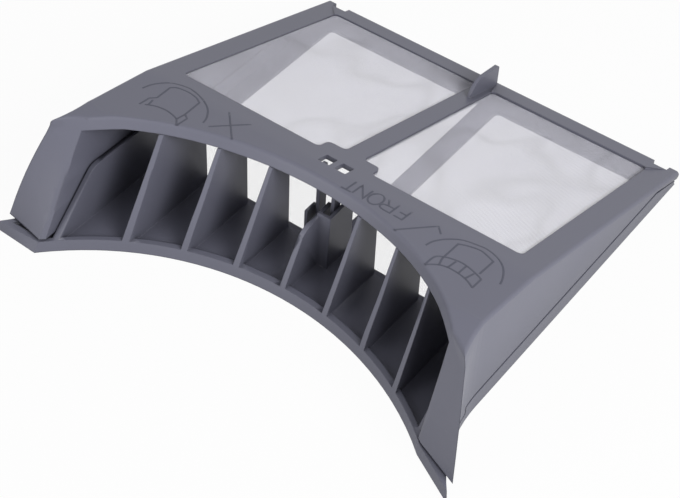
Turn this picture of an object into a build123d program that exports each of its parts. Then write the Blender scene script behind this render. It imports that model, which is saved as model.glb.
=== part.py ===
"""Tumble dryer lint filter: a wedge-shaped clamshell of two mouldings hinged at the rear edge.

Frame: +X to the right seen from the open front, +Y to the rear, +Z up.
Sizes are counted from the middle of the rear edge, on the plane that the lower moulding rests on.
The finished pieces are moved together so that the origin is the middle of the footprint.
"""
import math
import os

from build123d import *

# Overall form, in millimetres and degrees
HALF_WIDTH = 120.4                        # side walls, from the middle
REAR_HEIGHT = 6.8                         # top of the panel at the rear edge
PANEL_SLOPE = 17.2                        # the panel climbs to the front
EAR_HEIGHT = 65.4                         # level top of the two front ears
BEND_RADIUS = 38.0                        # from the slope into the level ears
SLOPE = math.radians(PANEL_SLOPE)
BEND_RUN = (EAR_HEIGHT - REAR_HEIGHT) / math.tan(SLOPE)     # rear edge to bend, level
BEND_LENGTH = BEND_RUN / math.cos(SLOPE)                    # rear edge to bend, up the slope

# Oblique round front, which follows the edge of the door opening
ARCH_RADIUS = 165.6
ARCH_HEAD_DROP = 7.9                      # upper measuring level under the ears
ARCH_HEAD_Z = EAR_HEIGHT - ARCH_HEAD_DROP
ARCH_FOOT_X = 8.5                         # middle of the arc at floor level
ARCH_HEAD_X = -0.8                        # and at ARCH_HEAD_Z
ARCH_FOOT_AHEAD = 16.7                    # the arc's rearmost point ahead of the bend, at floor level
ARCH_HEAD_BEHIND = 10.5                   # and behind the bend, at ARCH_HEAD_Z
CORNER_FOOT_INSET = 6.0                   # the arc meets the wing inside the side wall, at floor level
CORNER_HEAD_INSET = 8.5                   # and at ARCH_HEAD_Z
TIP_FOOT_OUT = 20.1                       # wing tip outside the side wall, at floor level
TIP_HEAD_OUT = 6.8                        # and at ARCH_HEAD_Z
TIP_FOOT_AHEAD = 5.6                      # wing tip ahead of the arc's two corners, at floor level
TIP_HEAD_AHEAD = 11.0                     # and at ARCH_HEAD_Z
CUTTER_SPARE = 35.0                       # construction width past the tips

# Sides, straight at the rear and flared to the wing tips
FLARE_AHEAD = 13.7                        # the flare starts ahead of the bend
FLARE_START = BEND_RUN + FLARE_AHEAD
FLARE_SPARE = 8.0                         # construction length past the tips

# Upper moulding
PANEL_THICK = 2.6
WALL = 2.3
FRONT_WALL = 2.6
EDGE_ROUND = 2.0
REAR_BORDER = 9.5                         # solid rear border, along Y
BROW_DEPTH = 6.2                          # front face of the arched brow
POST_WIDTH = 8.4                          # posts between the side walls and the opening
OPENING_HALF = HALF_WIDTH - POST_WIDTH
OPENING_DEPTH = 40.0                      # the opening's cut starts behind the bend
RETURN_WALL = 2.0                         # inner return of each front post
RETURN_AHEAD = 3.0                        # it ends ahead of the flare's start
RETURN_REAR = FLARE_START + RETURN_AHEAD
POST_FOOT = 6.0                           # underside of the posts

# Windows and holes of the panel; lengths run up the slope from the rear edge
UPPER_WINDOW_REAR = 12.2
UPPER_FRONT_BORDER = 40.9                 # window to bend
UPPER_WINDOW_FRONT = BEND_LENGTH - UPPER_FRONT_BORDER
UPPER_SIDE_BORDER = 14.4
UPPER_WINDOW_SIDE = HALF_WIDTH - UPPER_SIDE_BORDER
UPPER_BAR = 11.0
BOSS_HALF = 16.4                          # wider end of the bar, over the latch
BOSS_LENGTH = 9.3
WINDOW_ROUND = 3.0
HOLE_WIDTH = 6.8
HOLE_LENGTH = 9.6
HOLE_BRIDGE = 3.5                         # from the window's front edge to the hole
HOLE_REAR = UPPER_WINDOW_FRONT + HOLE_BRIDGE
HOLE_X = 5.1
HOLE_ROUND = 0.6

# Upright tab on the rear end of the bar, a side outline of (y, z) points
TAB_X = 1.2
TAB_THICK = 2.2
TAB_FOOT_Y = -32.0
TAB_HOLLOW = (-27.6, 22.4)                # the front slope passes through here
TAB_SHOULDER = (-21.5, 25.0)
TAB_TOP = (-2.0, 21.6)
TAB_ROUND = 2.5
TAB_ROOT = 1.5                            # sunk into the bar

# Lower moulding
FLOOR_THICK = 2.4
FLOOR_BEHIND = 27.9                       # the solid floor ends behind the bend, at the windows
FLOOR_REAR = BEND_RUN - FLOOR_BEHIND
RIM_THICK = 2.5
RIM_HEIGHT = 10.5
RIM_BELOW_PANEL = 4.6                     # rim top under the panel's surface, near the rear
RIM_STEP = 11.0                           # the rim steps down to the lip inside the flare
RIM_FRONT = FLARE_START + RIM_STEP
TONGUE_THICK = 1.5                        # stands inside the upper side wall
TONGUE_RISE = 1.8                         # above the rim
TONGUE_REAR = 34.0
TONGUE_GAP = 0.3
LIP_HEIGHT = 5.2
LIP_DEPTH = 3.6
SHELL_GAP = 0.5                           # seam between the two mouldings
STEP_GAP = 0.9                            # seam at the step of the rim
LOWER_WINDOW_REAR = 16.2
LOWER_SIDE_BORDER = 14.8
LOWER_WINDOW_SIDE = HALF_WIDTH - LOWER_SIDE_BORDER
LOWER_BAR = 12.0
LOWER_BAR_X = 6.3

# Fins on the floor
FIN_PITCH = 27.7
FIN_MIDDLE_X = 2.8
FIN_PAIRS = 3                             # full-height fins each side of the middle one
FIN_TOP_THICK = 1.9
FIN_BASE_THICK = 3.4
FIN_BORDER = 3.1                          # from the windows to the fins
FIN_REAR = FLOOR_REAR + FIN_BORDER
FIN_CLEAR = 1.0                           # under the brow
MIDDLE_FIN_HEIGHT = 35.6
GUIDE_INSET = 2.4                         # low outer fin, from the edge of the opening
GUIDE_X = OPENING_HALF - GUIDE_INSET
GUIDE_HEIGHT = 34.5
GUIDE_LEAN = 1.07                         # run of its front edge for each unit of height
LOW_FIN_ROUND = 9.0

# Latch: two prongs under the brow, between the walls of a catch on the floor
PRONG_THICK = 2.2
PRONG_DEPTH = 5.8
PRONG_AHEAD = 1.2                         # ahead of the holes
PRONG_REAR = (HOLE_REAR + HOLE_LENGTH) * math.cos(SLOPE) + PRONG_AHEAD
PRONG_FOOT = 17.0
BARB_LOW = 19.0
BARB_HIGH = 25.0
BARB_RISE = 0.3
CATCH_LEFT = -9.4                         # outer faces of the catch
CATCH_RIGHT = 11.0
CATCH_WALL = 1.9
CATCH_GAP = 0.7                           # between a prong and the wall beside it
CATCH_AHEAD = 15.6                        # front and rear of the catch from the floor's rear edge
CATCH_BEHIND = 5.4
CATCH_HEIGHT = 38.0
CATCH_POST_AHEAD = 0.6                    # low post on the left, from the floor's rear edge
CATCH_POST_DEPTH = 8.0
CATCH_POST_HEIGHT = 27.0

# Hinge at the rear edge
HINGE_Y = -1.6
HINGE_Z = 2.4
KNUCKLE_RADIUS = 2.2
KNUCKLE_INSET = 6.5                       # from the side wall
KNUCKLE_WIDTH = 8.6
KNUCKLE_OUTER = HALF_WIDTH - KNUCKLE_INSET
KNUCKLE_INNER = KNUCKLE_OUTER - KNUCKLE_WIDTH
KNUCKLE_GAP = 0.4
ARM_LENGTH = 5.0                          # ties a knuckle to the floor
ARM_THICK = 2.0
LUG_WIDTH = 2.4                           # cheeks that carry the pin
PIN_RADIUS = 1.1
PIN_GAP = 0.1
HINGE_ROOM = 2.7                          # radius kept free around the hinge line
REAR_UNDERCUT = 4.1                       # underside of the upper moulding behind the hinge line

# Filter gauze
GAUZE_THICK = 0.4
GAUZE_DEPTH = 1.0                         # under the face of its frame
GAUZE_SEAT = 2.0                          # edge held in the frame

CUTTER_HALF = HALF_WIDTH + TIP_FOOT_OUT + CUTTER_SPARE
PANEL = Plane(origin=(0, 0, REAR_HEIGHT), x_dir=(1, 0, 0), z_dir=(0, math.sin(SLOPE), math.cos(SLOPE)))
FLOOR = Plane(origin=(0, 0, FLOOR_THICK))


def panel_z(y, drop=0.0):
    """Height of the sloping surface at y, sunk by drop along its normal."""
    return REAR_HEIGHT - drop / math.cos(SLOPE) - y * math.tan(SLOPE)


def panel_y(z, drop=0.0):
    """Where the sloping surface, sunk by drop, reaches the height z."""
    return (panel_z(0, drop) - z) / math.tan(SLOPE)


def side_prism(outline, half=CUTTER_HALF, bend=None, bend_radius=BEND_RADIUS):
    """Prism across X from a side outline of (y, z) points, with one corner rounded."""
    face = Polygon(*outline, align=None)
    if bend:
        face = fillet(face.vertices().sort_by_distance((*bend, 0))[0], bend_radius)
    return extrude(Plane.YZ * face, half, both=True)


def at_height(foot, head, z):
    """Straight-line value at height z, from floor level to ARCH_HEAD_Z."""
    return foot + (head - foot) * z / ARCH_HEAD_Z


def arc_centre(z):
    """Centre of the front arc at height z."""
    rearmost = -BEND_RUN - at_height(ARCH_FOOT_AHEAD, -ARCH_HEAD_BEHIND, z)
    return at_height(ARCH_FOOT_X, ARCH_HEAD_X, z), rearmost - ARCH_RADIUS


def front_y(x, z):
    """The oblique round front at x and height z."""
    centre_x, centre_y = arc_centre(z)
    return centre_y + math.sqrt(ARCH_RADIUS**2 - (x - centre_x) ** 2)


def corner_x(z):
    """Where the arc meets the wings at height z, from the middle."""
    return HALF_WIDTH - at_height(CORNER_FOOT_INSET, CORNER_HEAD_INSET, z)


def tip_y(z):
    """Wing tips at height z, counted from the two corners of the arc."""
    corners_y = (front_y(corner_x(z), z) + front_y(-corner_x(z), z)) / 2
    return corners_y - at_height(TIP_FOOT_AHEAD, TIP_HEAD_AHEAD, z)


FRONT_REACH = FLARE_SPARE - tip_y(0)
FLARE_RUN = -tip_y(0) - FLARE_START
FLARE_RADIUS = (FLARE_RUN**2 + TIP_FOOT_OUT**2) / (2 * TIP_FOOT_OUT)


def below_panel(drop, rear=0.0):
    """All the room under the upper surface sunk by drop, ahead of rear."""
    level = EAR_HEIGHT - drop
    bend = (panel_y(level, drop), level)
    outline = [(rear, -REAR_HEIGHT), (rear, panel_z(rear, drop)), bend]
    outline += [(-FRONT_REACH, level), (-FRONT_REACH, -REAR_HEIGHT)]
    return side_prism(outline, bend=bend, bend_radius=BEND_RADIUS - drop)


def plan_prism(inset=0.0, height=EAR_HEIGHT + REAR_HEIGHT):
    """Upright prism on the outline from above: straight sides that flare to the front."""
    half = HALF_WIDTH - inset
    radius = FLARE_RADIUS + inset
    turn = math.degrees(math.asin((FRONT_REACH - FLARE_START) / radius))
    right = CenterArc((HALF_WIDTH + FLARE_RADIUS, -FLARE_START), radius, 180, turn)
    left = CenterArc((-HALF_WIDTH - FLARE_RADIUS, -FLARE_START), radius, 0, -turn)
    outline = [
        Line((-half, 0), (half, 0)),
        Line((half, 0), right @ 0),
        right,
        Line(right @ 1, left @ 1),
        left,
        Line(left @ 0, (-half, 0)),
    ]
    return extrude(make_face(outline), height)


def wing_section(side, z):
    """Level section through the space ahead of one wing."""
    inner_x = corner_x(z)
    inner_y = front_y(side * inner_x, z)
    tip_x = HALF_WIDTH + at_height(TIP_FOOT_OUT, TIP_HEAD_OUT, z)
    outer_y = inner_y + (tip_y(z) - inner_y) * (CUTTER_HALF - inner_x) / (tip_x - inner_x)
    front = arc_centre(z)[1]
    points = [(inner_x, inner_y), (CUTTER_HALF, outer_y), (CUTTER_HALF, front), (inner_x, front)]
    return Pos(0, 0, z) * make_face(Polyline(*[(side * x, y) for x, y in points], close=True))


def space_ahead():
    """Everything ahead of the front: an oblique cylinder between the two wings."""
    low = -REAR_HEIGHT
    high = EAR_HEIGHT + REAR_HEIGHT
    foot = Vector(*arc_centre(low), low)
    lean = Vector(*arc_centre(high), high) - foot
    space = extrude(Pos(*foot) * Circle(ARCH_RADIUS), lean.length, dir=lean.normalized())
    for side in (-1, 1):
        space += loft([wing_section(side, low), wing_section(side, high)], ruled=True)
    return space


def block(x_limits, y_limits, z_limits):
    """Box between its limits."""
    limits = [sorted(pair) for pair in (x_limits, y_limits, z_limits)]
    size = [high - low for low, high in limits]
    return Pos(*[(low + high) / 2 for low, high in limits]) * Box(*size)


def rod(radius, x_limits):
    """Cylinder along the hinge line."""
    middle = sum(x_limits) / 2
    length = abs(x_limits[1] - x_limits[0])
    return Pos(middle, HINGE_Y, HINGE_Z) * Rot(0, 90, 0) * Cylinder(radius, length)


def upper_window(side):
    """Window outline on the panel, stepped round the boss."""
    inner = side * UPPER_BAR / 2
    boss = side * BOSS_HALF
    outer = side * UPPER_WINDOW_SIDE
    outline = Polygon(
        (inner, -UPPER_WINDOW_REAR),
        (outer, -UPPER_WINDOW_REAR),
        (outer, -UPPER_WINDOW_FRONT),
        (boss, -UPPER_WINDOW_FRONT),
        (boss, BOSS_LENGTH - UPPER_WINDOW_FRONT),
        (inner, BOSS_LENGTH - UPPER_WINDOW_FRONT),
        align=None,
    )
    return fillet(outline.vertices(), WINDOW_ROUND)


def lower_window(side):
    """Window outline on the floor, beside the lower bar."""
    inner = LOWER_BAR_X + side * LOWER_BAR / 2
    outer = side * LOWER_WINDOW_SIDE
    middle = Pos((inner + outer) / 2, -(LOWER_WINDOW_REAR + FLOOR_REAR) / 2)
    return middle * RectangleRounded(abs(outer - inner), FLOOR_REAR - LOWER_WINDOW_REAR, WINDOW_ROUND)


def gauze(plane, outline):
    """Gauze sheet, held all round in its frame."""
    return extrude(plane.offset(-GAUZE_DEPTH - GAUZE_THICK) * offset(outline, GAUZE_SEAT), GAUZE_THICK)


def through(plane, outline):
    """Cut for an outline right through a frame."""
    return extrude(plane * outline, REAR_HEIGHT, both=True)


def crown_edges(body):
    """Upper outer edges of the sides, ears and brow."""
    edges = []
    for edge in body.edges():
        points = [edge @ 0, edge @ 0.5, edge @ 1]
        on_top = all(point.Z > min(EAR_HEIGHT, panel_z(point.Y)) - EDGE_ROUND / 2 for point in points)
        along_x = abs(points[0].Y - points[2].Y) + abs(points[0].Y - points[1].Y) < SHELL_GAP
        if on_top and not along_x:
            edges.append(edge)
    return edges


def upper_shell(ahead):
    """Panel, side walls, posts and brow."""
    seam_y = panel_y(RIM_HEIGHT, RIM_BELOW_PANEL)
    step_y = -RIM_FRONT - STEP_GAP
    bend = (panel_y(EAR_HEIGHT), EAR_HEIGHT)
    outline = [
        (0, REAR_UNDERCUT),
        (0, REAR_HEIGHT),
        bend,
        (-FRONT_REACH, EAR_HEIGHT),
        (-FRONT_REACH, POST_FOOT),
        (step_y, POST_FOOT),
        (step_y, RIM_HEIGHT + SHELL_GAP),
        (seam_y, RIM_HEIGHT + SHELL_GAP),
        (HINGE_Y, panel_z(HINGE_Y, RIM_BELOW_PANEL) + SHELL_GAP),
    ]
    body = (side_prism(outline, bend=bend) & plan_prism()) - ahead
    body = fillet(crown_edges(body), EDGE_ROUND)
    core = below_panel(PANEL_THICK, -REAR_BORDER) & Pos(0, 0, -REAR_HEIGHT) * plan_prism(WALL)
    shell = body - (core - Pos(0, FRONT_WALL, 0) * ahead)
    opening = block((-OPENING_HALF, OPENING_HALF), (-FRONT_REACH, OPENING_DEPTH - BEND_RUN), (0, EAR_HEIGHT))
    shell -= below_panel(BROW_DEPTH) & opening
    for side in (-1, 1):
        faces = (side * OPENING_HALF, side * (OPENING_HALF + RETURN_WALL))
        shell += block(faces, (-FRONT_REACH, -RETURN_REAR), (POST_FOOT, EAR_HEIGHT)) & body
    return shell


def tab():
    """Upright tab that stands across the rear end of the bar."""
    foot = (TAB_FOOT_Y, panel_z(TAB_FOOT_Y))
    root = TAB_ROOT + PANEL_THICK / 2
    outline = [
        ThreePointArc(foot, TAB_HOLLOW, TAB_SHOULDER),
        Line(TAB_SHOULDER, TAB_TOP),
        Line(TAB_TOP, (TAB_TOP[0], panel_z(TAB_TOP[0]) - root)),
        Line((TAB_TOP[0], panel_z(TAB_TOP[0]) - root), (foot[0], foot[1] - root)),
        Line((foot[0], foot[1] - root), foot),
    ]
    face = make_face(outline)
    face = fillet(face.vertices().sort_by_distance((*TAB_TOP, 0))[0], TAB_ROUND)
    return Pos(TAB_X, 0, 0) * extrude(Plane.YZ * face, TAB_THICK / 2, both=True)


def prong(side):
    """Latch prong with a barb on its outer face."""
    wall = (CATCH_LEFT + CATCH_WALL) if side < 0 else (CATCH_RIGHT - CATCH_WALL)
    outer = wall - side * CATCH_GAP
    outline = Polygon(
        (outer, PRONG_FOOT + PRONG_THICK / 2),
        (outer, BARB_LOW),
        (outer + side * BARB_RISE, BARB_HIGH),
        (outer, BARB_HIGH),
        (outer, EAR_HEIGHT),
        (outer - side * PRONG_THICK, EAR_HEIGHT),
        (outer - side * PRONG_THICK, PRONG_FOOT),
        (outer - side * PRONG_THICK / 2, PRONG_FOOT),
        align=None,
    )
    upright = extrude(Plane.XZ.offset(PRONG_REAR) * outline, PRONG_DEPTH)
    return upright & below_panel(PANEL_THICK / 2)


def hinge_limits(side, inner, outer):
    """X limits beside a knuckle, counted from the middle."""
    return (side * inner, side * outer)


def make_upper_frame(ahead):
    """Upper moulding: shell with windows, tab, latch prongs and hinge pins."""
    frame = upper_shell(ahead) + tab()
    hole = RectangleRounded(HOLE_WIDTH, HOLE_LENGTH, HOLE_ROUND)
    for side in (-1, 1):
        frame -= through(PANEL, upper_window(side))
        frame -= gauze(PANEL, upper_window(side))
        frame -= through(PANEL, Pos(side * HOLE_X, -HOLE_REAR - HOLE_LENGTH / 2) * hole)
        frame += prong(side)
        inner = KNUCKLE_INNER - KNUCKLE_GAP
        outer = KNUCKLE_OUTER + KNUCKLE_GAP
        notch_front = HINGE_Y - KNUCKLE_RADIUS - KNUCKLE_GAP
        frame -= block(hinge_limits(side, inner, outer), (notch_front, REAR_HEIGHT), (0, 2 * REAR_HEIGHT))
        frame += rod(KNUCKLE_RADIUS, hinge_limits(side, inner - LUG_WIDTH, inner))
        frame += rod(KNUCKLE_RADIUS, hinge_limits(side, outer, outer + LUG_WIDTH))
        frame += rod(PIN_RADIUS, hinge_limits(side, inner - LUG_WIDTH / 2, outer + LUG_WIDTH / 2))
    return frame


def fin(x, outline=None):
    """Drafted upright fin at x, cut to a side outline if it is a low one."""
    section = Polygon(
        (x - FIN_BASE_THICK / 2, 0),
        (x + FIN_BASE_THICK / 2, 0),
        (x + FIN_TOP_THICK / 2, EAR_HEIGHT),
        (x - FIN_TOP_THICK / 2, EAR_HEIGHT),
        align=None,
    )
    upright = extrude(Plane.XZ.offset(FIN_REAR) * section, FRONT_REACH - FIN_REAR)
    return upright & (outline if outline else below_panel(BROW_DEPTH + FIN_CLEAR))


def low_fin_outline(x, height, lean):
    """Side outline of a low fin: leaning front edge with a round top corner."""
    start = front_y(x, 0)
    corner = (start + height * lean, height)
    outline = [(start, 0), corner, (-FIN_REAR, height), (-FIN_REAR, 0)]
    return side_prism(outline, bend=corner, bend_radius=LOW_FIN_ROUND)


def fins(ahead):
    """All the fins, trimmed to the oblique front."""
    front_lean = (front_y(FIN_MIDDLE_X, MIDDLE_FIN_HEIGHT) - front_y(FIN_MIDDLE_X, 0)) / MIDDLE_FIN_HEIGHT
    group = fin(FIN_MIDDLE_X, low_fin_outline(FIN_MIDDLE_X, MIDDLE_FIN_HEIGHT, front_lean))
    for side in (-1, 1):
        group += fin(side * GUIDE_X, low_fin_outline(side * GUIDE_X, GUIDE_HEIGHT, GUIDE_LEAN))
        for count in range(1, FIN_PAIRS + 1):
            group += fin(FIN_MIDDLE_X + side * count * FIN_PITCH)
    return group - ahead


def catch():
    """Walls that stand round the latch prongs."""
    front = -FLOOR_REAR - CATCH_AHEAD
    right_wall = (CATCH_RIGHT - CATCH_WALL, CATCH_RIGHT)
    group = block(right_wall, (front, CATCH_BEHIND - FLOOR_REAR), (0, CATCH_HEIGHT))
    group += block((FIN_MIDDLE_X, CATCH_RIGHT), (front, front + CATCH_WALL), (0, CATCH_HEIGHT))
    post_rear = -FLOOR_REAR - CATCH_POST_AHEAD
    post_wall = (CATCH_LEFT, CATCH_LEFT + CATCH_WALL)
    return group + block(post_wall, (post_rear - CATCH_POST_DEPTH, post_rear), (0, CATCH_POST_HEIGHT))


def lower_rim():
    """Rim along the sides, with the tongue behind the seam."""
    outline = [
        (0, 0),
        (0, panel_z(0, RIM_BELOW_PANEL)),
        (panel_y(RIM_HEIGHT, RIM_BELOW_PANEL), RIM_HEIGHT),
        (-RIM_FRONT, RIM_HEIGHT),
        (-RIM_FRONT, LIP_HEIGHT),
        (-FRONT_REACH, LIP_HEIGHT),
        (-FRONT_REACH, 0),
    ]
    rim = side_prism(outline) & (plan_prism() - plan_prism(RIM_THICK))
    inset = WALL + TONGUE_GAP
    height = RIM_HEIGHT + TONGUE_RISE
    tongue = plan_prism(inset, height) - plan_prism(inset + TONGUE_THICK, height)
    return rim + (tongue & block((-CUTTER_HALF, CUTTER_HALF), (-RETURN_REAR, -TONGUE_REAR), (0, height)))


def make_lower_frame(ahead):
    """Lower moulding: floor with windows, rim, lip, fins, catch and hinge knuckles."""
    lip = plan_prism(0, LIP_HEIGHT) & Pos(0, LIP_DEPTH, 0) * ahead
    frame = (plan_prism(0, FLOOR_THICK) + lower_rim() + lip) - ahead
    frame += fins(ahead) + catch()
    frame -= rod(HINGE_ROOM, (-CUTTER_HALF, CUTTER_HALF))
    frame -= block((-CUTTER_HALF, CUTTER_HALF), (HINGE_Y, REAR_HEIGHT), (0, REAR_HEIGHT))
    for side in (-1, 1):
        frame -= through(FLOOR, lower_window(side))
        frame -= gauze(FLOOR, lower_window(side))
        limits = hinge_limits(side, KNUCKLE_INNER, KNUCKLE_OUTER)
        knuckle = rod(KNUCKLE_RADIUS, limits)
        knuckle += block(limits, (HINGE_Y - ARM_LENGTH, HINGE_Y), (HINGE_Z - KNUCKLE_RADIUS, ARM_THICK))
        frame += knuckle - rod(PIN_RADIUS + PIN_GAP, limits)
    return frame


def main():
    """Build every piece and write one STEP file each."""
    ahead = space_ahead()
    pieces = {
        "upper_frame": make_upper_frame(ahead),
        "lower_frame": make_lower_frame(ahead),
        "upper_mesh_left": gauze(PANEL, upper_window(-1)),
        "upper_mesh_right": gauze(PANEL, upper_window(1)),
        "lower_mesh_left": gauze(FLOOR, lower_window(-1)),
        "lower_mesh_right": gauze(FLOOR, lower_window(1)),
    }
    box = Compound(list(pieces.values())).bounding_box()
    to_middle = Pos(-box.center().X, -box.center().Y, -box.min.Z)
    os.makedirs("parts", exist_ok=True)
    for name, piece in pieces.items():
        export_step(to_middle * piece, f"parts/{name}.step")


main()
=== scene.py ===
"""Tumble dryer lint filter: plastic, gauze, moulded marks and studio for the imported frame."""

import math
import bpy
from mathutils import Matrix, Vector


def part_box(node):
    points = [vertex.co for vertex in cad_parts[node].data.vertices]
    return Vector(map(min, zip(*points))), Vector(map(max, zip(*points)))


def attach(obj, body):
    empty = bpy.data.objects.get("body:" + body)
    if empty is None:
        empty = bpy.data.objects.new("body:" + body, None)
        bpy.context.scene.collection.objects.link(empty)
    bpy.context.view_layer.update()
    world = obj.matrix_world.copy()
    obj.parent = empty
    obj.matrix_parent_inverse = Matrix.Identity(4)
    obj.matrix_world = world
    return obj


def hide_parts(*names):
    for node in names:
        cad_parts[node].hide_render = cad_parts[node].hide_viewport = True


bl_info = {
    "name": "Tumble Dryer Lint Filter",
    "version": (1, 0, 0),
    "blender": (4, 5, 0),
    "location": "View3D > Sidebar > Lint Filter",
    "description": "Dresses the packed lint filter: mouldings, gauze, marks and a studio",
    "category": "Object",
}

import bmesh
import bpy
from mathutils import Matrix, Vector

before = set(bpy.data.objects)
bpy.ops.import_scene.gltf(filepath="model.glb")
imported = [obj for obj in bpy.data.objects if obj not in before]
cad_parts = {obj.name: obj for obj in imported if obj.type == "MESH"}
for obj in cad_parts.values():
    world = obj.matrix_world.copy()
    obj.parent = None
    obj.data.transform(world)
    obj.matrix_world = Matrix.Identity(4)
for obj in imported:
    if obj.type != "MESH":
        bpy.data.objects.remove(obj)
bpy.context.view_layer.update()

MM = 0.001

# Panel of the solid, in millimetres; a run grows from the rear edge towards the front,
# and REAR_EDGE is the middle of that edge in the frame
PANEL_SLOPE = math.radians(17.2)
REAR_HEIGHT = 6.8
EAR_HEIGHT = 65.4
BEND_RADIUS = 38.0
BEND_RUN = (EAR_HEIGHT - REAR_HEIGHT) / math.tan(PANEL_SLOPE)
BEND_TANGENT = BEND_RADIUS * math.tan(PANEL_SLOPE / 2)
REAR_EDGE = (0.458873, 130.097)

# Real panel: the run where it turns flatter, its slope from there, and the run where it is level;
# behind FORM_RUN its height is the solid's
FLAT_RUN = 164.0
FLAT_HEIGHT = REAR_HEIGHT + FLAT_RUN * math.tan(PANEL_SLOPE)
FLAT_SLOPE = 0.178
LEVEL_RUN = FLAT_RUN + (EAR_HEIGHT - FLAT_HEIGHT) / FLAT_SLOPE
FORM_RUN = 140.0

# Front arc: its middle, rearmost place and radius at floor level and at HEAD_HEIGHT,
# where the solid and the real part differ
HEAD_HEIGHT = 57.5
ARC_FOOT = (8.5, -206.0, 165.6)
SOLID_HEAD = (-0.8, -178.8, 165.6)
REAL_HEAD = (0.1, -174.5, 152.1)

# Post plates of the solid, from the arc's end to the tip of the wing; a lean is the change over HEAD_HEIGHT
HALF_WIDTH = 120.4
CORNER_INSET = 6.0
CORNER_LEAN = 2.5
PLATE_LEVELS = (-6.8, 72.2)
PLATE_REACH = 175.5
TIP_REACH = 20.1
TIP_LEAN = 13.3
TIP_AHEAD = 5.6
TIP_AHEAD_LEAN = 5.4
FLARE_RUN = 203.0
FLARE_RADIUS = 85.43
EDGE_ROUNDS = 30

# Outer edge of a real post: across and along at floor level and at HEAD_HEIGHT, and its bow between them
EDGE_FOOT = (140.4, -254.0)
EDGE_HEAD = (126.6, -231.8)
EDGE_BOW = (1.3, -1.8)

# How the solid comes to the real form: fully within NEAR_START of its front and not at all past NEAR_END,
# fading out at the top of a post's outer side; WALL_CUTS are heights where the walls get more points
NEAR_START = 4.0
NEAR_END = 20.0
PLATE_FADE = 60.0
PLATE_TOP = 64.5
PLATE_JOIN = 8.0
WALL_CUTS = (20.0, 32.0, 43.0, 51.0, 56.0, 59.0, 61.0, 63.0)

# Small corrections: seam under the side wall, feet of the posts, tops of the fins, inner returns
RIM_TOP = 12.0
RIM_FRONT = 214.0
SEAM_HEIGHT = 11.0
SEAM_SLACK = 0.05
SEAM_LIFT = 1.2
FOOT_TOP = 6.1
FOOT_LIFT = 0.7
FIN_TOP = (0.5, 0.8)
FIN_LIFT = 0.8
RETURN_MIDDLE = 113.0
RETURN_HALF = 1.2
RETURN_REAR = 206.0
RETURN_SLACK = 0.2
RETURN_REAL_REAR = 186.0

# Moulded plastic: noise scales per metre, tones as shares of the colour, lengths in millimetres
FLOW_SCALE = 22.0
GRAIN_SCALE = 1900.0
GRAIN_SHARE = 0.2
FACE_TONES = (0.93, 1.07)
GRAIN_STRENGTH = 0.22
GRAIN_DEPTH = 0.03
FLOW_ROUGHNESS = 0.12
GRAIN_ROUGHNESS = 0.08
EDGE_ROUND = 0.7
EDGE_SAMPLES = 4
# Painted shade in corners and recesses: the colour's tone where a corner is closed, how far to look for
# faces close by in millimetres, and the number of samples
PAINTED_CORNER_SHADE = 0.5
PAINTED_SHADE_REACH = 45.0
PAINTED_SHADE_SAMPLES = 8

# Smooth copies of the mouldings: points closer than MERGE_GAP, in millimetres, become one,
# and large flat faces lead the shading
MERGE_GAP = 0.001
FACE_WEIGHT = 100

# Gauze pieces: node, moulding under it, body, sloped or level, side of the middle, seed of its waves
GAUZE_PIECES = (
    ("upper_mesh_left", "upper_moulding", "upper_half", True, -1, 8.0),
    ("upper_mesh_right", "upper_moulding", "upper_half", True, 1, 12.0),
    ("lower_mesh_left", "lower_moulding", "lower_half", False, -1, 1.0),
    ("lower_mesh_right", "lower_moulding", "lower_half", False, 1, 5.0),
)
GAUZE_INSET = 0.2 * MM
GAUZE_THICK = 0.4 * MM
NOTCH_WIDTH = 11.1 * MM
NOTCH_LENGTH = 9.5 * MM
WAVE_FADE = 26.0 * MM
WAVE_SCALES = (30.0, 17.0)
LOWER_SLACK = 0.4
LAYER_SHARE = 0.46
THREAD_SIDES = 4
THREAD_POINTS = 15

# Gauze thread: painted sheen in slow streaks and painted shade in thin fold lines along the cloth
STREAK_STRETCH = (1.0, 0.45, 1.0)
SHEEN_STREAK_SCALE = 42.0
STREAK_ROUGHNESS = 0.15
FOLD_SHADE_SCALE = 15.0
FOLD_SHADE_SHARPNESS = 22.0
FOLD_SHADE_SHARE = 0.4
THREAD_SHEEN_AND_SHADE_TONES = (0.80, 1.14)
THREAD_ROUGHNESS = 0.4

# Marks on the panel, in millimetres: across, and run from the rear edge;
# the section of a line is given in shares of its width and in lift over the panel
LETTER_FOOT = 163.0
LETTER_HEAD = 172.1
LETTER_MIDDLE = 167.6
RING_ACROSS = 31.7
RING_HALVES = (3.7, 5.1)
RING_STEPS = 24
CURVE_STEPS = 3
STROKE_STEP = 2.0
CLOSED_GAP = 0.001
MITRE_LIMIT = 0.45
GROOVE_SECTION = ((-0.5, 0.035), (0.0, 0.012), (0.5, 0.035), (0.5, -0.1), (-0.5, -0.1))
GROOVE_ROUGHNESS = 0.6

# Studio, in metres: the camera is fitted to the straight edges of the part
CAMERA_PLACE = (0.348082, -0.535369, 0.626428)
CAMERA_RIGHT = (0.8027, 0.5947, 0.0438)
CAMERA_UP = (-0.4513, 0.5578, 0.6966)
CAMERA_AHEAD = (-0.3899, 0.5789, -0.7161)
SENSOR_WIDTH = 36.0
IMAGE_WIDTH = 680
FOCAL_PIXELS = 1672.296
FLOOR_HALF = 3.0
FLOOR_LEVEL = -0.3 * MM
KEY_PLACE = (0.95, -0.25, 0.75)
KEY_SIZE = 0.7
FRONT_PLACE = (-0.55, -1.0, 0.5)
FRONT_SIZE = 0.6


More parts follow.
